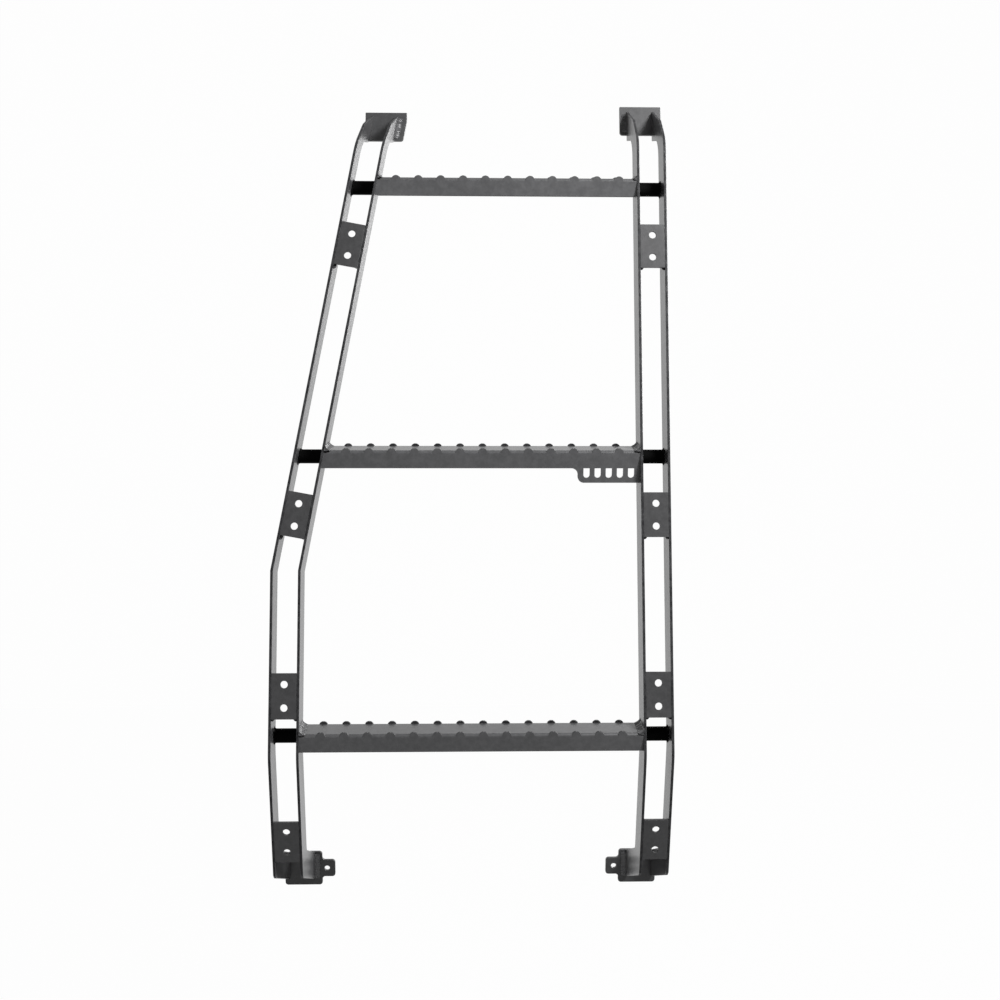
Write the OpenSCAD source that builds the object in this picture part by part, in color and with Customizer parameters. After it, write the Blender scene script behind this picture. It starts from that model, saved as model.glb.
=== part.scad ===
// Vehicle ladder for a rear hatch, folded and laser cut from sheet metal, in its mounted pose.
// The origin is the centre of the rear face of the right lower mount plate; +Y points to the vehicle.

/* [Steps] */
// Height from one step to the next
step_pitch = 300; // [250:1:330]
// Depth of a step from front to rear
step_depth = 36; // [28:0.5:38]
// Height of the front and rear flanges of a step
flange_h = 20; // [15:0.5:26]
// Sheet thickness of the steps
step_t = 2.5; // [1.5:0.5:3]
// Outside radius of the folds of a step
fold_r = 3.5; // [3:0.5:6]
// Clear width between the two stiles at the bottom step
clear_w = 377; // [300:1:460]
// Distance between grip teeth
tooth_pitch = 25.4; // [20:0.1:40]
// Radius of a grip tooth
tooth_r = 5.2; // [4:0.1:7]
// Height of a grip tooth above the step
tooth_h = 2.5; // [2:0.1:4]
// Smallest distance from the end of a step to its first tooth
tooth_margin = 20; // [10:1:40]

/* [Drop panel] */
// Width of the panel below the middle step
panel_w = 70; // [40:1:120]
// Height of the panel below the front flange
panel_drop = 16.5; // [10:0.5:40]
// Radius of the corners of the panel
panel_r = 7; // [3:0.5:9]
// Number of slots in the panel
slot_count = 5; // [1:1:5]
// Width of one slot
slot_w = 7; // [4:0.5:8]
// Height of one slot
slot_h = 18; // [12:0.5:20]
// Distance between slots
slot_pitch = 12.5; // [10:0.5:13]
// Height of the slots above the lower edge of the panel
slot_up = 5.5; // [4:0.5:8]

/* [Stiles] */
// Angle that the ladder leans forward from upright
lean = 15.85; // [5:0.05:20]
// Thickness of the side plates
plate_t = 3; // [2:0.5:5]
// Width of a stile over both of its side plates
stile_w = 33.5; // [28:0.5:45]
// Depth of a stile from front to rear
stile_d = 40; // [34:1:45]
// Sideways angle of the upper part of the left stile
side_lean = 10.45; // [0:0.05:14]
// Distance along the stile from the bottom step to the sideways bend
side_bend_at = 179; // [100:0.5:200]
// Radius of the bend at the front and rear edges of a side plate
bend_r = 40; // [20:1:60]
// Radius of the shoulder at the top of the stile
shoulder_r = 30; // [15:1:40]
// Radius where the lower edge of the upper arm meets the stile
throat_r = 28; // [10:1:40]
// Radius where the upper edge of the foot arm meets the foot
heel_r = 10; // [5:1:20]
// Radius of the corners at the tip of the foot
tip_r = 3; // [1:0.5:5]
// Diameter of the spacer bars between the side plates
spacer_d = 16; // [10:0.5:20]
// Distance from the front of the stile to the spacer bar
spacer_in = 31; // [20:0.5:32]
// How far the axis of a spacer bar lies below the top of its step
spacer_drop = 11.5; // [8:0.5:15]

/* [Cross plates] */
// Height of a cross plate
cross_h = 50; // [44:1:60]
// Thickness of a cross plate
cross_t = 3; // [2:0.5:5]
// Distance between the two holes of a cross plate
hole_pitch = 25.4; // [20:0.1:28]
// Diameter of the holes of a cross plate
hole_d = 8; // [5:0.5:9]
// Drop of the upper cross plate below the top step, along the stile
cross_top_drop = 78; // [60:1:90]
// Drop of the middle cross plate below the middle step, along the stile
cross_mid_drop = 71.5; // [60:0.5:90]
// Rise of the lower cross plate above the bottom step, along the stile
cross_low_rise = 42; // [36:0.5:60]
// Distance of the foot cross plate below the foot bend
cross_foot_at = 103.5; // [80:0.5:110]

/* [Upper mounts] */
// Rise of the shoulder of the stile above the top step, along the stile
shoulder_rise = 47; // [35:1:60]
// Distance of the right mount plate behind the front of the stile
top_back = 91; // [70:1:110]
// Rise of the top edge of the arm, from the shoulder to the mount plate
arm_rise = 65; // [50:0.5:70]
// Distance of the upper corner of the arm behind the front of the stile
arm_corner_at = 33; // [25:1:38]
// Rise of the upper corner of the arm above the shoulder
arm_corner_rise = 34; // [25:1:38]
// Rise of the lower edge of the arm from the stile to the mount plate
arm_under_rise = 17; // [10:1:30]
// Height of the upper arm, along the stile
top_arm_h = 36; // [30:1:42]
// Width of the upper mount plates
top_plate_w = 50; // [44:1:70]
// Height of the upper mount plates
top_plate_h = 35; // [30:1:40]
// Thickness of all mount plates
mount_t = 4; // [3:0.5:6]
// How far the mount plate stands above its arm
top_lip = 6.5; // [3:0.5:9]
// How much lower the arm of the leaning left stile is
left_top_drop = 7; // [0:0.5:9]
// How much lower the left mount plate is than the right one
left_plate_drop = 9.5; // [0:0.5:12]
// How much less high the left upper arm is
left_arm_less = 3; // [0:0.5:5]
// How far the left mount plate is moved toward the middle
left_top_in = 2; // [0:0.5:4]
// Height of the upright part of the ends of an upper mount plate
top_plate_side = 10; // [5:1:20]

/* [Lower mounts] */
// Drop of the foot bend below the top of the bottom step, along the stile
foot_bend_drop = 25.5; // [25:0.5:40]
// Angle that the foot sweeps back from the stile
foot_sweep = 22.5; // [15:0.5:28]
// Length of the foot below the bend
foot_len = 149; // [145:1:165]
// Angle of the lower arm below level
foot_arm_drop = 27.5; // [20:0.5:35]
// Height of the lower arm where it meets its mount plate
foot_arm_h = 35; // [30:0.5:40]
// Distance of the lower mount plates behind the front of the bottom step
foot_back = 130.5; // [120:0.5:150]
// Width of the lower mount plates
foot_plate_w = 45; // [42:1:60]
// Height of the lower mount plates
foot_plate_h = 42.5; // [40:0.5:50]
// How far the lower mount plate reaches inward past its stile
foot_plate_in = 8.5; // [5:0.5:10]
// Width of the tab on a lower mount plate
tab_w = 15.5; // [14:0.5:20]
// Height of the tab on a lower mount plate
tab_h = 21; // [18:0.5:24]
// How far the hole in the tab lies inside the middle of the tab
tab_hole_in = 2; // [0:0.5:3]
// Diameter of the hole in the tab
tab_hole_d = 6.5; // [5:0.5:8]
// Radius of the upper outer corner of a lower mount plate
foot_corner_r = 9; // [3.5:0.5:12]
// Corner radius of the mount plates
corner_r = 3.5; // [2:0.5:4]

/* [Hidden] */
$fn = 48;

arc_steps = 6;
through = 60;
reach = 900;
coat = [0.2, 0.2, 0.21];
dark_coat = [0.08, 0.08, 0.08];
tube_coat = [0.04, 0.04, 0.04];

// Distance between steps and heights of the steps, measured along the leaning stile
slope_pitch = step_pitch / cos(lean);
top_s = 2 * slope_pitch;
middle_s = slope_pitch;

// Sideways places: x is 0 in the middle of the right stile, before the shift to the origin
left_x = -clear_w - stile_w;
half_w = stile_w / 2;
gap = stile_w - 2 * plate_t;
tilt_gap = (stile_w - plate_t) * cos(side_lean) - plate_t;
side_slope = tan(side_lean);
tilt_shift = plate_t * (1 / cos(side_lean) - 1) / 2;

// Side view in [n, s]: n is back from the front of the stile, s is up along the stile
foot_front = [foot_len * sin(foot_sweep), -foot_bend_drop - foot_len * cos(foot_sweep)];
foot_front_yz = to_level(foot_front);
arm_end_z = foot_front_yz[1] - (foot_back - foot_front_yz[0]) * tan(foot_arm_drop);
foot_top_z = arm_end_z + foot_arm_h;
foot_plate_z = foot_top_z - foot_plate_h / 2;
foot_plate_x = foot_plate_w / 2 - half_w - foot_plate_in;
tab_x = -foot_plate_w / 2 - tab_w;
tab_hole_x = -foot_plate_w / 2 - tab_w / 2 + tab_hole_in;
home = [foot_plate_x, foot_back + mount_t, foot_plate_z];

// From [n, s] on the stile to [y, z] with level steps, and back
function to_level(p) = [p[0] * cos(lean) + p[1] * sin(lean), p[1] * cos(lean) - p[0] * sin(lean)];
function to_stile(y, z) = [y * cos(lean) - z * sin(lean), y * sin(lean) + z * cos(lean)];

function unit(v) = v / norm(v);

// Points of a corner at b rounded to radius r, between the neighbours a and c
function round_corner(a, b, c, r) =
    let (u = unit(a - b), v = unit(c - b))
    let (half = acos(u * v) / 2)
    let (centre = b + unit(u + v) * r / sin(half))
    let (from = b + u * r / tan(half) - centre)
    let (to = b + v * r / tan(half) - centre)
    [for (i = [0 : arc_steps]) centre + unit(from * (arc_steps - i) + to * i) * r];

// An outline from corners given as [x, y, radius]
function outline(corners) =
    let (count = len(corners))
    let (at = [for (c = corners) [c[0], c[1]]])
    [for (i = [0 : count - 1])
        each corners[i][2] > 0
            ? round_corner(at[(i + count - 1) % count], at[i], at[(i + 1) % count], corners[i][2])
            : [at[i]]];

// Sideways place of the middle of a stile at height s along it
function stile_x(s, right) =
    right ? 0
    : s < side_bend_at ? left_x
    : left_x + (s - side_bend_at) * side_slope + tilt_shift;
function stile_tilt(s, right) = right || s < side_bend_at ? 0 : side_lean;

module at_home() {
    translate(-home) children();
}

module on_stile() {
    at_home() rotate([-lean, 0, 0]) children();
}

// Flat outline in [n, s] made into a sheet standing across x
module sheet_across(x, w) {
    translate([x, 0, 0]) rotate([90, 0, 90]) linear_extrude(w) children();
}

// Flat outline in [x, z] made into a sheet that starts at depth y
module sheet_facing(y, t) {
    translate([0, y + t, 0]) rotate([90, 0, 0]) linear_extrude(t) children();
}

// Side view of a side plate, from the foot arm up to the arm of the upper mount
module side_outline(drop, less) {
    shoulder = top_s + shoulder_rise - drop;
    arm_top = shoulder + arm_rise;
    under = arm_top - top_arm_h + less;
    bend = side_rear_bend();
    arm_low = to_stile(foot_back, arm_end_z);
    arm_high = to_stile(foot_back, foot_top_z);
    heel = foot_heel();
    polygon(outline([
        [0, -foot_bend_drop, bend_r],
        [foot_front[0] - tip_r * sin(foot_sweep), foot_front[1] + tip_r * cos(foot_sweep), tip_r],
        [foot_front[0] + 2 * tip_r, foot_low_edge(foot_front[0] + 2 * tip_r), tip_r],
        [arm_low[0], arm_low[1], 0],
        [arm_high[0], arm_high[1], 0],
        [heel[0], heel[1], heel_r],
        [bend[0], bend[1], bend_r],
        [stile_d, under - arm_under_rise, throat_r],
        [top_back, under, 0],
        [top_back, arm_top, 0],
        [arm_corner_at, shoulder + arm_corner_rise, shoulder_r - 5],
        [0, shoulder, shoulder_r]
    ]));
}

// Height s of the lower edge of the foot arm at depth n
function foot_low_edge(n) =
    let (end = to_stile(foot_back, arm_end_z))
    foot_front[1] + (n - foot_front[0]) * (end[1] - foot_front[1]) / (end[0] - foot_front[0]);

// Rear corner of the foot bend
function side_rear_bend() = [stile_d, -foot_bend_drop + stile_d * tan(foot_sweep / 2)];

// Corner between the rear edge of the foot and the upper edge of its arm
function foot_heel() =
    let (b = side_rear_bend())
    let (d = [sin(foot_sweep), -cos(foot_sweep)])
    let (e = to_stile(foot_back, foot_top_z))
    let (low = to_stile(foot_back, arm_end_z))
    let (a = unit(low - foot_front))
    let (k = ((e[0] - b[0]) * a[1] - (e[1] - b[1]) * a[0]) / (d[0] * a[1] - d[1] * a[0]))
    b + d * k;

// Front view of a bent strip that is t thick, with its left face at x
module bent_strip(x, t) {
    rise = reach - side_bend_at;
    polygon([
        [x, -reach],
        [x, side_bend_at],
        [x + rise * side_slope, reach],
        [x + rise * side_slope + t / cos(side_lean), reach],
        [x + t, side_bend_at - t * tan(side_lean / 2)],
        [x + t, -reach]
    ]);
}

module left_side_plate(x) {
    color(coat) on_stile() intersection() {
        sheet_across(left_x - half_w, clear_w) side_outline(left_top_drop, left_arm_less);
        sheet_facing(-through, reach) bent_strip(x, plate_t);
    }
}

module right_side_plate(x) {
    color(coat) on_stile() sheet_across(x, plate_t) side_outline(0, 0);
}

module left_outer_side_plate() {
    left_side_plate(left_x - half_w);
}

module left_inner_side_plate() {
    left_side_plate(left_x + half_w - plate_t);
}

module right_inner_side_plate() {
    right_side_plate(-half_w);
}

module right_outer_side_plate() {
    right_side_plate(half_w - plate_t);
}

// Space between the two stiles, from inner side plate to inner side plate
module between_stiles() {
    rise = reach - side_bend_at;
    left = left_x + half_w;
    rotate([-lean, 0, 0]) sheet_facing(-reach, 2 * reach) polygon([
        [left, -reach],
        [left, side_bend_at - plate_t * tan(side_lean / 2)],
        [left - plate_t + plate_t / cos(side_lean) + rise * side_slope, reach],
        [-half_w, reach],
        [-half_w, -reach]
    ]);
}

// Left end of a step that is at height s along the stile
function step_left(s) = left_x + half_w + max(0, s - side_bend_at) * side_slope;

// Folded channel of a step, open below
module step_channel() {
    inner_r = fold_r - step_t;
    translate([left_x, 0, 0]) rotate([90, 0, 90]) linear_extrude(-left_x) difference() {
        polygon(outline([
            [0, -flange_h, 0],
            [step_depth, -flange_h, 0],
            [step_depth, 0, fold_r],
            [0, 0, fold_r]
        ]));
        polygon(outline([
            [step_t, -flange_h - 1, 0],
            [step_depth - step_t, -flange_h - 1, 0],
            [step_depth - step_t, -step_t, inner_r],
            [step_t, -step_t, inner_r]
        ]));
    }
}

// A row of half-round teeth that rise out of a flange at depth y
module teeth(s, y) {
    length = -half_w - step_left(s);
    count = floor((length - 2 * tooth_margin) / tooth_pitch) + 1;
    first = step_left(s) + (length - (count - 1) * tooth_pitch) / 2;
    for (i = [0 : count - 1])
        translate([first + i * tooth_pitch, y + step_t, tooth_h - tooth_r])
            rotate([90, 0, 0]) cylinder(h = step_t, r = tooth_r);
}

module step(number) {
    s = number * slope_pitch;
    translate([0, number * step_pitch * tan(lean), number * step_pitch]) {
        step_channel();
        teeth(s, 0);
        teeth(s, step_depth - step_t);
        children();
    }
}

module whole_step(number) {
    color(coat) at_home() intersection() {
        step(number) children();
        between_stiles();
    }
}

module bottom_step() {
    whole_step(0);
}

module middle_step() {
    whole_step(1) drop_panel();
}

module top_step() {
    whole_step(2);
}

// Panel below the front flange with a row of plain slots
module drop_panel() {
    left = -half_w - panel_w;
    low = -flange_h - panel_drop;
    first = -half_w - panel_w / 2 - (slot_count - 1) * slot_pitch / 2;
    sheet_facing(0, step_t) difference() {
        polygon(outline([
            [left - 2 * panel_r, -flange_h, 0],
            [left, -flange_h, panel_r],
            [left, low, panel_r],
            [0, low, 0],
            [0, -flange_h + 1, 0],
            [left - 2 * panel_r, -flange_h + 1, 0]
        ]));
        slots(first);
    }
}

module slots(first) {
    for (i = [0 : slot_count - 1])
        translate([first + i * slot_pitch, -flange_h - panel_drop + slot_up]) slot();
}

// Upright slot with round ends, standing on its lower end
module slot() {
    translate([0, slot_w / 2]) circle(d = slot_w);
    translate([-slot_w / 2, slot_w / 2]) square([slot_w, slot_h - slot_w]);
    translate([0, slot_h - slot_w / 2]) circle(d = slot_w);
}

// Round bar between the two side plates of a stile, level with its step
module spacer(number, right) {
    s = number * slope_pitch + (spacer_in * sin(lean) - spacer_drop) / cos(lean);
    x = stile_x(s, right);
    color(tube_coat) on_stile() intersection() {
        translate([x - half_w, spacer_in, s]) rotate([0, 90, 0]) cylinder(h = stile_w, d = spacer_d);
        stile_hollow(right);
    }
}

// Space between the two side plates of a stile
module stile_hollow(right) {
    sheet_facing(-through, reach) {
        if (right) translate([-gap / 2, -reach]) square([gap, 2 * reach]);
        if (!right) bent_hollow(left_x - half_w + plate_t, left_x + half_w - plate_t);
    }
}

// Front view of the space from the plate that ends at x to the plate that starts at far_x
module bent_hollow(x, far_x) {
    rise = reach - side_bend_at;
    polygon([
        [x, -reach],
        [x, side_bend_at - plate_t * tan(side_lean / 2)],
        [x - plate_t + plate_t / cos(side_lean) + rise * side_slope, reach],
        [far_x + rise * side_slope, reach],
        [far_x, side_bend_at],
        [far_x, -reach]
    ]);
}

module left_spacer_top() {
    spacer(2, false);
}

module left_spacer_middle() {
    spacer(1, false);
}

module left_spacer_bottom() {
    spacer(0, false);
}

module right_spacer_top() {
    spacer(2, true);
}

module right_spacer_middle() {
    spacer(1, true);
}

module right_spacer_bottom() {
    spacer(0, true);
}

// Plate with two holes, centred, with its front face at depth 0
module cross_blank(w) {
    difference() {
        sheet_facing(0, cross_t) square([w, cross_h], center = true);
        for (z = [-hole_pitch / 2, hole_pitch / 2])
            translate([0, -1, z]) rotate([-90, 0, 0]) cylinder(h = cross_t + 2, d = hole_d);
    }
}

module cross_plate(s, right) {
    tilt = stile_tilt(s, right);
    color(dark_coat) on_stile() translate([stile_x(s, right), 0, s])
        rotate([0, tilt, 0]) cross_blank(tilt > 0 ? tilt_gap : gap);
}

module foot_cross_plate(x) {
    color(dark_coat) on_stile() translate([x, 0, -foot_bend_drop]) rotate([foot_sweep, 0, 0])
        translate([0, 0, -cross_foot_at]) cross_blank(gap);
}

module left_cross_plate_top() {
    cross_plate(top_s - cross_top_drop, false);
}

module left_cross_plate_middle() {
    cross_plate(middle_s - cross_mid_drop, false);
}

module left_cross_plate_low() {
    cross_plate(cross_low_rise, false);
}

module left_cross_plate_foot() {
    foot_cross_plate(left_x);
}

module right_cross_plate_top() {
    cross_plate(top_s - cross_top_drop, true);
}

module right_cross_plate_middle() {
    cross_plate(middle_s - cross_mid_drop, true);
}

module right_cross_plate_low() {
    cross_plate(cross_low_rise, true);
}

module right_cross_plate_foot() {
    foot_cross_plate(0);
}

// Upper mount plate: its lower part follows the lean of its stile
module upper_mount(drop, right) {
    arm_top = top_s + shoulder_rise + arm_rise - drop;
    top = arm_top + top_lip;
    low = top - top_plate_h;
    x = stile_x(arm_top, right) + (right ? 0 : left_top_in);
    inset = right ? 0 : (top_plate_h - top_plate_side) * side_slope;
    color(coat) on_stile() sheet_facing(top_back, mount_t) polygon(outline([
        [x - top_plate_w / 2 - inset, low, corner_r],
        [x + top_plate_w / 2 - inset, low, corner_r],
        [x + top_plate_w / 2, top - top_plate_side, 0],
        [x + top_plate_w / 2, top, 1],
        [x - top_plate_w / 2, top, 1],
        [x - top_plate_w / 2, top - top_plate_side, 0]
    ]));
}

module left_upper_mount_plate() {
    upper_mount(left_plate_drop, false);
}

module right_upper_mount_plate() {
    upper_mount(0, true);
}

// Lower mount plate with its tab toward -x
module foot_plate_blank() {
    difference() {
        sheet_facing(foot_back, mount_t) {
            polygon(outline([
                [-foot_plate_w / 2, -foot_plate_h / 2, corner_r],
                [foot_plate_w / 2, -foot_plate_h / 2, corner_r],
                [foot_plate_w / 2, foot_plate_h / 2, foot_corner_r],
                [-foot_plate_w / 2, foot_plate_h / 2, corner_r],
                [-foot_plate_w / 2, tab_h / 2, corner_r],
                [tab_x, tab_h / 2, corner_r],
                [tab_x, -tab_h / 2, corner_r],
                [-foot_plate_w / 2, -tab_h / 2, corner_r]
            ]));
        }
        translate([tab_hole_x, foot_back - 1, 0]) rotate([-90, 0, 0])
            cylinder(h = mount_t + 2, d = tab_hole_d);
    }
}

module right_lower_mount_plate() {
    color(dark_coat) at_home() translate([foot_plate_x, 0, foot_plate_z]) foot_plate_blank();
}

module left_lower_mount_plate() {
    color(dark_coat) at_home() translate([left_x - foot_plate_x, 0, foot_plate_z])
        mirror([1, 0, 0]) foot_plate_blank();
}

left_outer_side_plate();
left_inner_side_plate();
right_inner_side_plate();
right_outer_side_plate();
top_step();
middle_step();
bottom_step();
left_spacer_top();
left_spacer_middle();
left_spacer_bottom();
right_spacer_top();
right_spacer_middle();
right_spacer_bottom();
left_cross_plate_top();
left_cross_plate_middle();
left_cross_plate_low();
left_cross_plate_foot();
right_cross_plate_top();
right_cross_plate_middle();
right_cross_plate_low();
right_cross_plate_foot();
left_upper_mount_plate();
right_upper_mount_plate();
left_lower_mount_plate();
right_lower_mount_plate();
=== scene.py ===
import math

import bmesh
import bpy
from mathutils import Matrix, Vector


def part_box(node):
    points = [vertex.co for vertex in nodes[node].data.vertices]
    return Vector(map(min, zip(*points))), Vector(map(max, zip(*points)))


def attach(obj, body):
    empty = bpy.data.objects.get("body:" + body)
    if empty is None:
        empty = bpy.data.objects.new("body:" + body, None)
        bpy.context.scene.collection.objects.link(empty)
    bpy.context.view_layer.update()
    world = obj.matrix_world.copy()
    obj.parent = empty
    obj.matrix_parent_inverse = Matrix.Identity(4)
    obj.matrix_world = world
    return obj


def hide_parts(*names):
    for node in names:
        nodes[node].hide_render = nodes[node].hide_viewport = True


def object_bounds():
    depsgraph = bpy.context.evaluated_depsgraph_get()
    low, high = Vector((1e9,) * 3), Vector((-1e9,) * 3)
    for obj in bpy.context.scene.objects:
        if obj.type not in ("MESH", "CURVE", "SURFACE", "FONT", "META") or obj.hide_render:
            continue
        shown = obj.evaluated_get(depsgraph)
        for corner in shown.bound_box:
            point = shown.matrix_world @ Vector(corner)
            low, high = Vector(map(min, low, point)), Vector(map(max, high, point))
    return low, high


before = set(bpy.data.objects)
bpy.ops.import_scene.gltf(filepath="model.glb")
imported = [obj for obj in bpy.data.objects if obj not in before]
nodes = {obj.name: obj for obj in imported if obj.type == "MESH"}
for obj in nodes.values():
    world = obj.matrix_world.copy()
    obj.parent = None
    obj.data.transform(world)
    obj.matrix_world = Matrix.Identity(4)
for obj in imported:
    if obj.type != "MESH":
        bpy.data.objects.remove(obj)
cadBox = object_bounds()
mm = 0.001
print("frame loaded:", len(nodes), "nodes")

# The camera stands at the photograph's viewing angle
viewSettings = {
    "place": (-0.21555, -1.53317, 0.76892),
    "down": 10.501,
    "turn": -1.7195,
    "roll": 0.3215,
    "lens": 48.602,
    "shiftUp": -0.025,
}


def makeCamera():
    data = bpy.data.cameras.new("viewCamera")
    data.sensor_width = 36
    data.lens = viewSettings["lens"]
    data.shift_y = viewSettings["shiftUp"]
    camera = bpy.data.objects.new("viewCamera", data)
    bpy.context.scene.collection.objects.link(camera)
    aim = (
        Matrix.Rotation(math.radians(viewSettings["turn"]), 3, "Z")
        @ Matrix.Rotation(math.radians(90 - viewSettings["down"]), 3, "X")
        @ Matrix.Rotation(math.radians(viewSettings["roll"]), 3, "Z")
    )
    camera.rotation_euler = aim.to_euler()
    camera.location = viewSettings["place"]
    bpy.context.scene.camera = camera


makeCamera()
print("camera placed")


class Wire:
    # One socket of a node, so that shader maths reads as Python
    def __init__(self, tree, socket):
        self.tree = tree
        self.socket = socket

    def join(self, kind, first, second):
        node = self.tree.nodes.new("ShaderNodeMath")
        node.operation = kind
        for place, value in enumerate((first, second)):
            if isinstance(value, Wire):
                self.tree.links.new(value.socket, node.inputs[place])
            else:
                node.inputs[place].default_value = value
        return Wire(self.tree, node.outputs[0])

    def __add__(self, other):
        return self.join("ADD", self, other)

    def __radd__(self, other):
        return self.join("ADD", other, self)

    def __sub__(self, other):
        return self.join("SUBTRACT", self, other)

    def __rsub__(self, other):
        return self.join("SUBTRACT", other, self)

    def __mul__(self, other):
        return self.join("MULTIPLY", self, other)

    def __rmul__(self, other):
        return self.join("MULTIPLY", other, self)


class Finish:
    # The nodes of a material or a world, and the one method that adds them
    def __init__(self, owner):
        self.owner = owner
        self.owner.use_nodes = True
        self.tree = self.owner.node_tree
        self.tree.nodes.clear()

    def node(self, kind, settings=None, out=0, **sockets):
        made = self.tree.nodes.new(kind)
        for key, value in (settings or {}).items():
            if key == "stops":
                for spot, (where, grey) in zip(made.color_ramp.elements, value):
                    spot.position = where
                    spot.color = (grey, grey, grey, 1)
            else:
                setattr(made, key, value)
        for key, value in sockets.items():
            label = key.replace("_", " ")
            socket = made.inputs[int(key[2:])] if key.startswith("at") else made.inputs[label]
            if isinstance(value, Wire):
                self.tree.links.new(value.socket, socket)
            else:
                socket.default_value = value
        return Wire(self.tree, made.outputs[out]) if made.outputs else None

    def noise(self, scale, detail, roughness):
        return self.node(
            "ShaderNodeTexNoise",
            out="Fac",
            Vector=self.node("ShaderNodeTexCoord", out="Object"),
            Scale=scale,
            Detail=detail,
            Roughness=roughness,
        )

    def ramp(self, value, low, high):
        return self.node("ShaderNodeValToRGB", {"stops": [(low, 0.0), (high, 1.0)]}, Fac=value)

    def blend(self, amount, first, second):
        # inputs 6 and 7 are the two colours of a colour mix, output 2 is its result
        return self.node(
            "ShaderNodeMix", {"data_type": "RGBA"}, out=2, Factor=amount, at6=first, at7=second
        )

    def close(self, shader, kind="ShaderNodeOutputMaterial"):
        self.node(kind, Surface=shader)
        return self.owner


coatSettings = {
    "texturedCoat": {
        "dark": (0.044, 0.044, 0.046, 1),
        "pale": (0.088, 0.088, 0.091, 1),
        # lighter colour for the painted highlight along the eased edges
        "edgeHighlight": (0.190, 0.190, 0.195, 1),
        # near black for the darker cut edges of the side plates and the painted shade on the
        # teeth
        "darkRimAndToothShade": (0.008, 0.008, 0.009, 1),
        "gloss": (0.32, 0.44),
        "shine": 0.3,
        "skin": 0.3,
        "grain": 0.20,
    },
    # the textured coat made darker: painted shade for the cross plates, mount plates and cross
    # welds that sit between and behind the side plates
    "paintedShadeCoat": {
        "dark": (0.028, 0.028, 0.029, 1),
        "pale": (0.058, 0.058, 0.060, 1),
        "edgeHighlight": (0.120, 0.120, 0.123, 1),
        "darkRimAndToothShade": (0.008, 0.008, 0.009, 1),
        "gloss": (0.34, 0.46),
        "shine": 0.25,
        "skin": 0.2,
        "grain": 0.20,
    },
    "barCoat": {
        "dark": (0.0012, 0.0012, 0.0012, 1),
        "pale": (0.0024, 0.0024, 0.0024, 1),
        "edgeHighlight": (0.0050, 0.0050, 0.0050, 1),
        "darkRimAndToothShade": (0.0012, 0.0012, 0.0012, 1),
        "gloss": (0.70, 0.85),
        "shine": 0.04,
        "skin": 0.0,
        "grain": 0.12,
    },
}


# What all coats share: each noise is a scale, a detail and a roughness, with the ends of its ramp
grainSettings = {
    "clouds": ((9.0, 4.0, 0.6), (0.35, 0.68)),
    "drift": ((150.0, 3.0, 0.6), (0.36, 0.66)),
    "wear": ((60.0, 4.0, 0.65), (0.42, 0.62)),
    "speckle": (900.0, 2.0, 0.6),
    "skin": (420.0, 3.0, 0.55),
    "colourShares": (0.3, 0.45, 0.25),  # of clouds, drift and speckle
    "glossShares": (0.4, 0.2, 0.4),
    "bumpShares": (0.7, 0.3),  # of skin and speckle
    "bumpDeep": 0.4 * mm,
    "skinRough": 0.22,
    "edgeHighlightShare": 0.6,
    "edgePolish": 0.05,
    "darkRimAndToothShadeCover": 0.9,
    "cutDull": 0.3,
    "cutShine": 0.12,
}


def patches(made, name):
    # a noise spread from 0 to 1 by its ramp
    noise, ends = grainSettings[name]
    return made.ramp(made.noise(*noise), *ends)


def mixShares(parts, name):
    # the parts added up, each by its share
    shares = grainSettings[name]
    total = parts[0] * shares[0]
    for part, share in zip(parts[1:], shares[1:]):
        total = total + part * share
    return total


def powderCoat(name):
    coat = coatSettings[name]
    made = Finish(bpy.data.materials.new(name))
    # slow clouds where the powder lies thicker, then fine grain
    clouds = patches(made, "clouds")
    drift = patches(made, "drift")
    speckle = made.noise(*grainSettings["speckle"])
    skin = made.noise(*grainSettings["skin"])
    edge = made.node("ShaderNodeAttribute", {"attribute_name": "edgeMark"}, out="Fac")
    # faces marked for the darker cut edges and for the painted shade on the teeth
    darkRimAndToothShade = made.node("ShaderNodeAttribute", {"attribute_name": "darkRimAndToothShadeMark"}, out="Fac")
    # painted highlight: the eased edges are lightened in patches and made a little smoother there
    edgeHighlightMask = edge * patches(made, "wear")
    tone = mixShares((clouds, drift, speckle), "colourShares")
    body = made.blend(tone, coat["dark"], coat["pale"])
    colour = made.blend(edgeHighlightMask * grainSettings["edgeHighlightShare"], body, coat["edgeHighlight"])
    low, high = coat["gloss"]
    roughness = low + (high - low) * mixShares((clouds, drift, speckle), "glossShares")
    roughness = roughness - edgeHighlightMask * grainSettings["edgePolish"]
    bump = made.node(
        "ShaderNodeBump",
        out="Normal",
        Strength=coat["grain"],
        Distance=grainSettings["bumpDeep"],
        Height=mixShares((skin, speckle), "bumpShares"),
    )
    sheet = made.node(
        "ShaderNodeBsdfPrincipled",
        Base_Color=colour,
        Roughness=roughness,
        Normal=bump,
        IOR=1.5,
        Specular_IOR_Level=coat["shine"],
        Coat_Weight=coat["skin"],
        Coat_Roughness=grainSettings["skinRough"],
    )
    # the cut edges of the side plates are made darker and duller, and the faces of the teeth get
    # painted shade, darker and duller too
    darkRimAndToothShadeSheet = made.node(
        "ShaderNodeBsdfPrincipled",
        Base_Color=made.blend(drift, coat["darkRimAndToothShade"], coat["dark"]),
        Roughness=roughness + grainSettings["cutDull"],
        Normal=bump,
        IOR=1.5,
        Specular_IOR_Level=grainSettings["cutShine"],
    )
    darkRimAndToothShadeShare = darkRimAndToothShade * grainSettings["darkRimAndToothShadeCover"]
    return made.close(made.node("ShaderNodeMixShader", Fac=darkRimAndToothShadeShare, at1=sheet, at2=darkRimAndToothShadeSheet))


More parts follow.
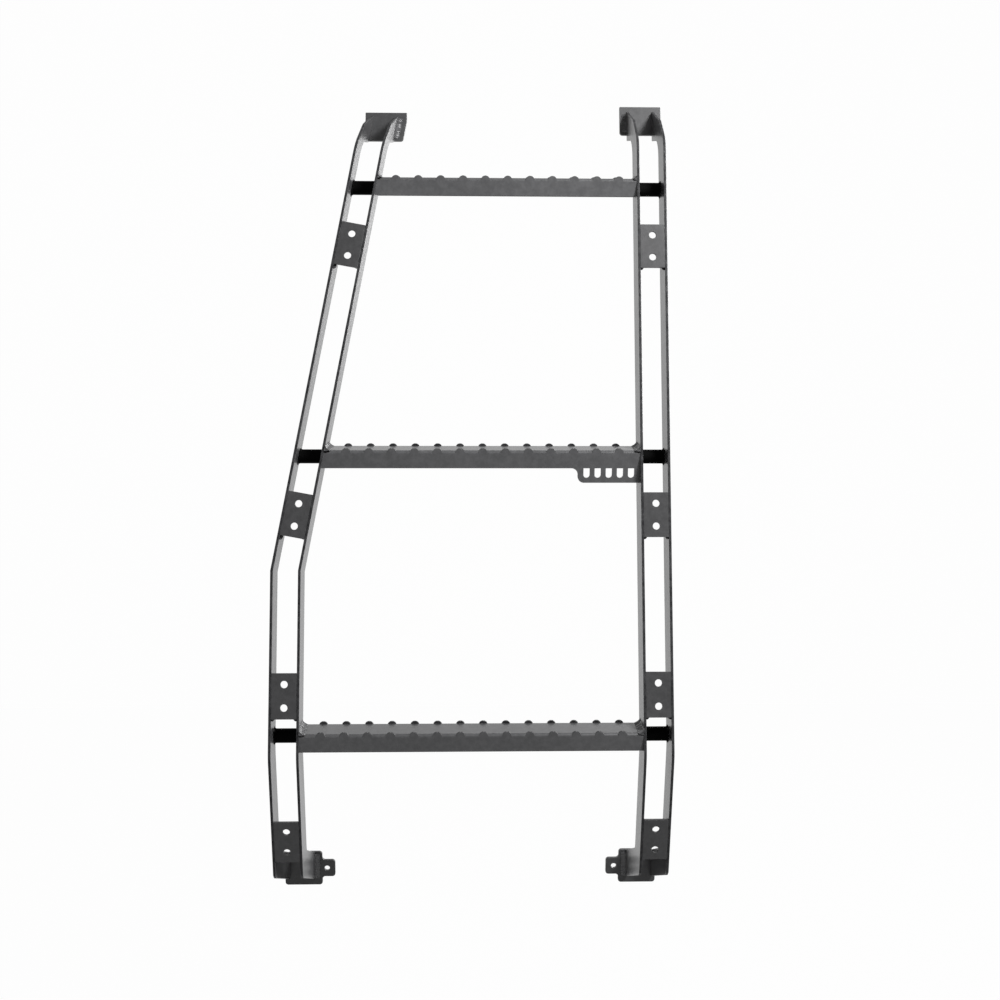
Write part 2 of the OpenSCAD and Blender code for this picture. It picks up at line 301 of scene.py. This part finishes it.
finishes = {name: powderCoat(name) for name in coatSettings}
print("finishes made:", ", ".join(finishes))


def finishOf(nodeName):
    if "spacer" in nodeName:
        return "barCoat", "bar_coat"
    # cross plates and mount plates take the darker coat, as painted shade for their places
    # between and behind the side plates
    if "cross_plate" in nodeName or "lower_mount" in nodeName:
        return "paintedShadeCoat", "dark_coat"
    if "upper_mount" in nodeName:
        return "paintedShadeCoat", "textured_coat"
    return "texturedCoat", "textured_coat"


# Limits on the parts of a face's normal, and how far down from their tops the teeth reach, for
# the darker rims and the painted shade on the teeth
darkRimAndToothShadeSettings = {"sideways": 0.5, "level": 0.99, "forward": -0.8, "toothDeep": 2.3 * mm}


def isDarkRimOrToothShade(nodeName, face, low, high):
    # cut edges of the side plates, which are made darker, and the rows of teeth, the rear row on
    # its front faces too, which get painted shade
    if "side_plate" in nodeName:
        return abs(face.normal.x) < darkRimAndToothShadeSettings["sideways"]
    if nodeName.endswith("_step"):
        spot = face.calc_center_median()
        onTooth = spot.z > high.z - darkRimAndToothShadeSettings["toothDeep"]
        tilted = face.normal.z < darkRimAndToothShadeSettings["level"]
        turned = face.normal.y > darkRimAndToothShadeSettings["forward"] or spot.y > (low.y + high.y) / 2
        return onTooth and tilted and turned
    return False


edgeSettings = {
    "merge": 0.002 * mm,
    "flatTo": 1.0,  # degrees between faces that count as one
    "sharpFrom": 33.0,  # degrees from which an edge is eased
    "width": 0.45 * mm,
    "segments": 2,
}


def softenEdges(nodeName):
    # The same plate with its cut edges eased and coated, as powder coat leaves them
    shape = bmesh.new()
    shape.from_mesh(nodes[nodeName].data)
    bmesh.ops.remove_doubles(shape, verts=shape.verts, dist=edgeSettings["merge"])
    flat = math.radians(edgeSettings["flatTo"])
    bmesh.ops.dissolve_limit(shape, angle_limit=flat, verts=shape.verts, edges=shape.edges)
    mark = shape.faces.layers.float.new("edgeMark")
    limit = math.radians(edgeSettings["sharpFrom"])
    corners = [e for e in shape.edges if e.is_manifold and e.calc_face_angle() > limit]
    eased = bmesh.ops.bevel(
        shape,
        geom=corners,
        offset=edgeSettings["width"],
        offset_type="OFFSET",
        affect="EDGES",
        segments=edgeSettings["segments"],
        profile=0.5,
        material=-1,
        clamp_overlap=True,
    )
    for face in eased["faces"]:
        face[mark] = 1.0
    # mark the darker cut edges and the faces of the teeth that get painted shade
    darkRimAndToothShade = shape.faces.layers.float.new("darkRimAndToothShadeMark")
    shape.normal_update()
    low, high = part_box(nodeName)
    for face in shape.faces:
        face.smooth = True
        face[darkRimAndToothShade] = float(isDarkRimOrToothShade(nodeName, face, low, high))
    look, slotName = finishOf(nodeName)
    mesh = bpy.data.meshes.new(nodeName + "_coated")
    shape.to_mesh(mesh)
    shape.free()
    mesh.materials.append(finishes[look])
    piece = bpy.data.objects.new(nodeName + "_coated", mesh)
    bpy.context.scene.collection.objects.link(piece)
    even = piece.modifiers.new("evenNormals", "WEIGHTED_NORMAL")
    even.mode = "FACE_AREA"
    even.keep_sharp = True
    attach(piece, "root")
    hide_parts(nodeName)


for nodeName in sorted(nodes):
    softenEdges(nodeName)
print("plates, steps and bars coated:", len(nodes))

# Where the stiles, steps and plates stand, in millimetres from the middle of the right stile,
# at the front and the top of the bottom step
frameSizes = {
    "stepPitch": 300.0,
    "stepDeep": 36.0,
    "toothHigh": 2.5,
    "lean": math.radians(15.85),
    "halfStile": 16.75,
    "clearWide": 377.0,
    "plateThick": 3.0,
    "sideLean": math.radians(10.45),
    "bendAt": 179.0,
    "crossThick": 3.0,
    "crossHigh": 50.0,
    "crossAt": (-78.0, -71.5, 42.0),
    "footCrossAt": 103.5,
    "footBendDrop": 25.5,
    "footSweep": math.radians(22.5),
    "barRadius": 8.0,
    "barIn": 31.0,
    "barDrop": 11.5,
    "topBack": 91.0,
    "armTop": 112.0,
    "plateRise": 6.5,
    "plateHigh": 35.0,
    "leftPlateDrop": 9.5,
    "leftArmDrop": 7.0,
}


def readOrigin():
    # frame place of the point that the sizes above count from
    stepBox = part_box("bottom_step")
    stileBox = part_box("right_inner_side_plate")
    return Vector(
        (
            stileBox[0].x + frameSizes["halfStile"] * mm,
            stepBox[0].y,
            stepBox[1].z - frameSizes["toothHigh"] * mm,
        )
    )


origin = readOrigin()
sinLean = math.sin(frameSizes["lean"])
cosLean = math.cos(frameSizes["lean"])
sideSlope = math.tan(frameSizes["sideLean"])
slopePitch = frameSizes["stepPitch"] / cosLean


def stilePlace(x, deep, along):
    # x across, deep behind the front edges of the stiles, along the slope of the stiles
    return origin + mm * Vector(
        (x, deep * cosLean + along * sinLean, along * cosLean - deep * sinLean)
    )


def stileTurn(x, deep, along):
    # the same as a direction from the origin
    return stilePlace(x, deep, along) - origin


def sideFace(right, outer, along, inside):
    # x of a face of a side plate: its inside looks at the other plate of the same stile
    half = frameSizes["halfStile"]
    if right:
        x = half if outer else -half
        toMiddle = -1 if outer else 1
    else:
        x = -frameSizes["clearWide"] - 2 * half + (-half if outer else half)
        x = x + max(0.0, along - frameSizes["bendAt"]) * sideSlope
        toMiddle = 1 if outer else -1
    return x + toMiddle * frameSizes["plateThick"] if inside else x


xAxis = Vector((1, 0, 0))

# All beads: lengths in millimetres, with depth, hollow and taper as shares of the bead's size
beadSettings = {
    "sides": 10,
    "stride": 0.65,
    "ripple": 2.6,
    "depth": 0.055,
    "crescent": 0.9,
    "hollow": 0.55,
    "buried": 0.35,
    "taper": (0.45, 0.75, 0.92),
}


def placeRing(shape, verts, station, wide, high, dist, size):
    # one ring of a bead: a hollow fillet between two faces that meet at the corner,
    # where the last point of the ring is buried
    ring = shape.verts.layers.int["ring"]
    corner, across, up = station
    last = beadSettings["sides"] - 1
    for vert in verts:
        step = vert[ring]
        if step == last:
            side = -beadSettings["buried"]
            rise = -beadSettings["buried"]
        else:
            part = step / (last - 1)
            angle = part * math.pi / 2
            hollow = beadSettings["hollow"]
            lag = beadSettings["crescent"] * math.sin(math.pi * part)
            wave = math.cos(2 * math.pi * (dist + lag) / beadSettings["ripple"])
            swell = size * (1 + beadSettings["depth"] * wave)
            side = wide * swell * (hollow * (1 - math.sin(angle)) + (1 - hollow) * (1 - part))
            rise = high * swell * (hollow * (1 - math.cos(angle)) + (1 - hollow) * part)
        vert.co = corner + mm * (side * across + rise * up)


def walk(stations):
    # the same path with a station at every stride
    path = []
    dist = 0.0
    for first, second in zip(stations, stations[1:]):
        length = (second[0] - first[0]).length / mm
        count = max(1, round(length / beadSettings["stride"]))
        for step in range(count):
            part = step / count
            mixed = [a.lerp(b, part) for a, b in zip(first, second)]
            path.append((mixed, dist + length * part))
        dist = dist + length
    path.append((stations[-1], dist))
    return path


def layBead(shape, stations, wide, high, closed=False):
    # a station is a corner with the directions of its two faces, across and up
    path = walk(stations)
    taper = beadSettings["taper"]
    made = bmesh.ops.create_circle(
        shape, cap_ends=True, segments=beadSettings["sides"], radius=mm
    )
    ring = shape.verts.layers.int["ring"]
    verts = made["verts"]
    for index, vert in enumerate(verts):
        vert[ring] = index
    cap = verts[0].link_faces[0]
    for index, (station, dist) in enumerate(path):
        if index:
            grown = bmesh.ops.extrude_face_region(shape, geom=[cap])["geom"]
            verts = [item for item in grown if isinstance(item, bmesh.types.BMVert)]
            cap = next(item for item in grown if isinstance(item, bmesh.types.BMFace))
        fromEnd = min(index, len(path) - 1 - index)
        size = 1.0 if closed or fromEnd >= len(taper) else taper[fromEnd]
        placeRing(shape, verts, station, wide, high, dist, size)


def newBeads():
    shape = bmesh.new()
    shape.verts.layers.int.new("ring")
    return shape


def finishBeads(shape, name, look):
    bmesh.ops.recalc_face_normals(shape, faces=shape.faces)
    for face in shape.faces:
        face.smooth = True
    mesh = bpy.data.meshes.new(name)
    shape.to_mesh(mesh)
    shape.free()
    mesh.materials.append(finishes[look])
    piece = bpy.data.objects.new(name, mesh)
    bpy.context.scene.collection.objects.link(piece)
    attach(piece, "root")


treadBead = {
    "wide": (6.5, 6.5, 4.5),  # bottom, middle and top step
    "high": (5.5, 5.5, 3.5),
    "points": 7,
    "setForward": 0.8,
    "tuck": 0.5,
    "droop": 2.2,
}


def layTreadBeads():
    # a fillet along each end of each tread, running over its front fold
    shape = newBeads()
    for number in range(3):
        front = number * frameSizes["stepPitch"] * math.tan(frameSizes["lean"])
        height = number * frameSizes["stepPitch"]
        for right in (True, False):
            stations = []
            across = -xAxis if right else xAxis
            rise = 0.0 if right or number == 0 else sideSlope * cosLean
            up = Vector((rise, 0, 1)).normalized()
            for point in range(treadBead["points"]):
                part = point / (treadBead["points"] - 1)
                deep = frameSizes["stepDeep"] * (1 - part) - treadBead["setForward"]
                along = (front + deep) * sinLean + height * cosLean
                x = sideFace(right, False, along, False)
                stations.append((origin + mm * Vector((x, front + deep, height)), across, up))
            corner, across, up = stations[-1]
            low = corner + mm * Vector((0, treadBead["tuck"], -treadBead["droop"]))
            stations.append((low, across, up))
            layBead(shape, stations, treadBead["wide"][number], treadBead["high"][number])
    finishBeads(shape, "treadWelds", "texturedCoat")


mountBead = {"wide": 6.0, "high": 3.0, "inset": 2.5, "footInset": 7.5}


def layMountBeads():
    # a bead down the inner side plates where they meet the mount plates
    shape = newBeads()
    inset = mountBead["inset"]
    for right in (True, False):
        across = -xAxis if right else xAxis
        top = 2 * slopePitch + frameSizes["armTop"]
        plateTop = top - (0 if right else frameSizes["leftPlateDrop"]) + frameSizes["plateRise"]
        high = min(top - (0 if right else frameSizes["leftArmDrop"]), plateTop) - inset
        low = plateTop - frameSizes["plateHigh"] + inset
        up = stileTurn(0, -1, 0).normalized()
        stations = []
        for along in (high, (high + low) / 2, low):
            x = sideFace(right, False, along, False)
            stations.append((stilePlace(x, frameSizes["topBack"], along), across, up))
        layBead(shape, stations, mountBead["wide"], mountBead["high"])
        lowCorner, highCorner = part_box(("right" if right else "left") + "_lower_mount_plate")
        x = origin.x + mm * sideFace(right, False, 0, False)
        stations = []
        for z in (highCorner.z - inset * mm, lowCorner.z + mountBead["footInset"] * mm):
            stations.append((Vector((x, lowCorner.y, z)), across, Vector((0, -1, 0))))
        layBead(shape, stations, mountBead["wide"], mountBead["high"])
    finishBeads(shape, "mountWelds", "texturedCoat")


crossBead = {"wide": 3.4, "high": 3.4, "inset": 3.0, "overrun": 2.2}


def layCrossBeads():
    # two beads behind each cross plate, one at each side plate
    shape = newBeads()
    reach = frameSizes["crossHigh"] / 2 - crossBead["inset"]
    below = frameSizes["crossHigh"] / 2 + crossBead["overrun"]
    thick = frameSizes["crossThick"]
    sweep = frameSizes["footSweep"]
    for right in (True, False):
        for outer in (True, False):
            across = xAxis if right != outer else -xAxis
            for number, offset in zip((2, 1, 0), frameSizes["crossAt"]):
                middle = number * slopePitch + offset
                stations = []
                for along in (middle + reach, middle - below):
                    x = sideFace(right, outer, along, True)
                    up = stileTurn(0, 1, 0).normalized()
                    stations.append((stilePlace(x, thick, along), across, up))
                layBead(shape, stations, crossBead["wide"], crossBead["high"])
            stations = []
            for part in (reach, -below):
                down = part - frameSizes["footCrossAt"]
                deep = thick * math.cos(sweep) - down * math.sin(sweep)
                along = thick * math.sin(sweep) + down * math.cos(sweep)
                along = along - frameSizes["footBendDrop"]
                x = sideFace(right, outer, along, True)
                up = stileTurn(0, math.cos(sweep), math.sin(sweep)).normalized()
                stations.append((stilePlace(x, deep, along), across, up))
            layBead(shape, stations, crossBead["wide"], crossBead["high"])
    finishBeads(shape, "crossWelds", "paintedShadeCoat")


barBead = {"wide": 2.2, "high": 2.2, "points": 24}


def layBarBeads():
    # a ring of weld round both ends of each spacer bar
    shape = newBeads()
    radius = frameSizes["barRadius"]
    for number in range(3):
        lift = frameSizes["barIn"] * sinLean - frameSizes["barDrop"]
        middle = number * slopePitch + lift / cosLean
        for right in (True, False):
            for outer in (True, False):
                up = Vector((1 if right != outer else -1, 0, 0))
                stations = []
                for point in range(barBead["points"] + 1):
                    angle = 2 * math.pi * point / barBead["points"]
                    across = stileTurn(0, math.cos(angle), math.sin(angle)).normalized()
                    along = middle + radius * math.sin(angle)
                    x = sideFace(right, outer, along, True)
                    place = stilePlace(x, frameSizes["barIn"] + radius * math.cos(angle), along)
                    stations.append((place, across, up))
                layBead(shape, stations, barBead["wide"], barBead["high"], closed=True)
    finishBeads(shape, "barWelds", "barCoat")


layTreadBeads()
layMountBeads()
layCrossBeads()
layBarBeads()
print("welds laid")

# In metres and watts; the mask is the share of white that the camera sees on floor and wall
roomSettings = {
    "floorDown": 0.62,
    "floorSize": 16.0,
    "wallBack": 2.3,
    "wallSize": 12.0,
    "floorShade": 0.5,
    "wallShade": 0.9,
    "mask": 0.98,
    "ambient": 0.10,
    "keyLamp": {"place": (0.6, -0.75, 1.5), "size": 0.35, "power": 34.0},
    "sideLamp": {"place": (1.1, 1.7, 0.8), "size": 1.0, "power": 24.0},
}


def seenRays(made):
    # 1 for the rays that show the background: straight, mirrored or through glass
    rays = made.node("ShaderNodeLightPath", out="Is Camera Ray")
    for ray in ("Is Glossy Ray", "Is Transmission Ray"):
        rays = rays + made.node("ShaderNodeLightPath", out=ray)
    return rays


def paleFinish(name, grey):
    # white to the camera and in reflections, a matt pale surface to all other light
    made = Finish(bpy.data.materials.new(name))
    matte = made.node("ShaderNodeBsdfDiffuse", Color=(grey, grey, grey, 1))
    bright = made.node("ShaderNodeEmission", Color=(1, 1, 1, 1), Strength=1.0)
    amount = seenRays(made) * roomSettings["mask"]
    return made.close(made.node("ShaderNodeMixShader", Fac=amount, at1=matte, at2=bright))


def makeSheet(name, size, turn, place, grey):
    shape = bmesh.new()
    bmesh.ops.create_grid(shape, x_segments=1, y_segments=1, size=size / 2)
    bmesh.ops.rotate(shape, verts=shape.verts, matrix=Matrix.Rotation(turn, 3, "X"))
    bmesh.ops.translate(shape, verts=shape.verts, vec=place)
    mesh = bpy.data.meshes.new(name)
    shape.to_mesh(mesh)
    shape.free()
    mesh.materials.append(paleFinish(name, grey))
    sheet = bpy.data.objects.new(name, mesh)
    bpy.context.scene.collection.objects.link(sheet)


def makeRoom():
    level = cadBox[0].z - roomSettings["floorDown"]
    size = roomSettings["floorSize"]
    makeSheet("paleFloor", size, 0.0, (0, 0, level), roomSettings["floorShade"])
    size = roomSettings["wallSize"]
    place = (0, roomSettings["wallBack"], level + size / 2)
    makeSheet("paleWall", size, math.pi / 2, place, roomSettings["wallShade"])


def makeWorld():
    # white where it is seen, a faint even light elsewhere
    made = Finish(bpy.data.worlds.new("studio"))
    ambient = roomSettings["ambient"]
    strength = seenRays(made) * (1 - ambient) + ambient
    glow = made.node("ShaderNodeBackground", Color=(1, 1, 1, 1), Strength=strength)
    bpy.context.scene.world = made.close(glow, "ShaderNodeOutputWorld")


def makeLamp(name):
    # a square lamp that looks at the middle of the ladder
    settings = roomSettings[name]
    data = bpy.data.lights.new(name, "AREA")
    data.shape = "SQUARE"
    data.size = settings["size"]
    data.energy = settings["power"]
    lamp = bpy.data.objects.new(name, data)
    bpy.context.scene.collection.objects.link(lamp)
    lamp.location = settings["place"]
    aim = (cadBox[0] + cadBox[1]) / 2 - lamp.location
    lamp.rotation_euler = aim.to_track_quat("-Z", "Y").to_euler()


makeRoom()
makeWorld()
makeLamp("keyLamp")
makeLamp("sideLamp")
bpy.context.scene.view_settings.view_transform = "Standard"
print("floor, wall, world and lamps set")
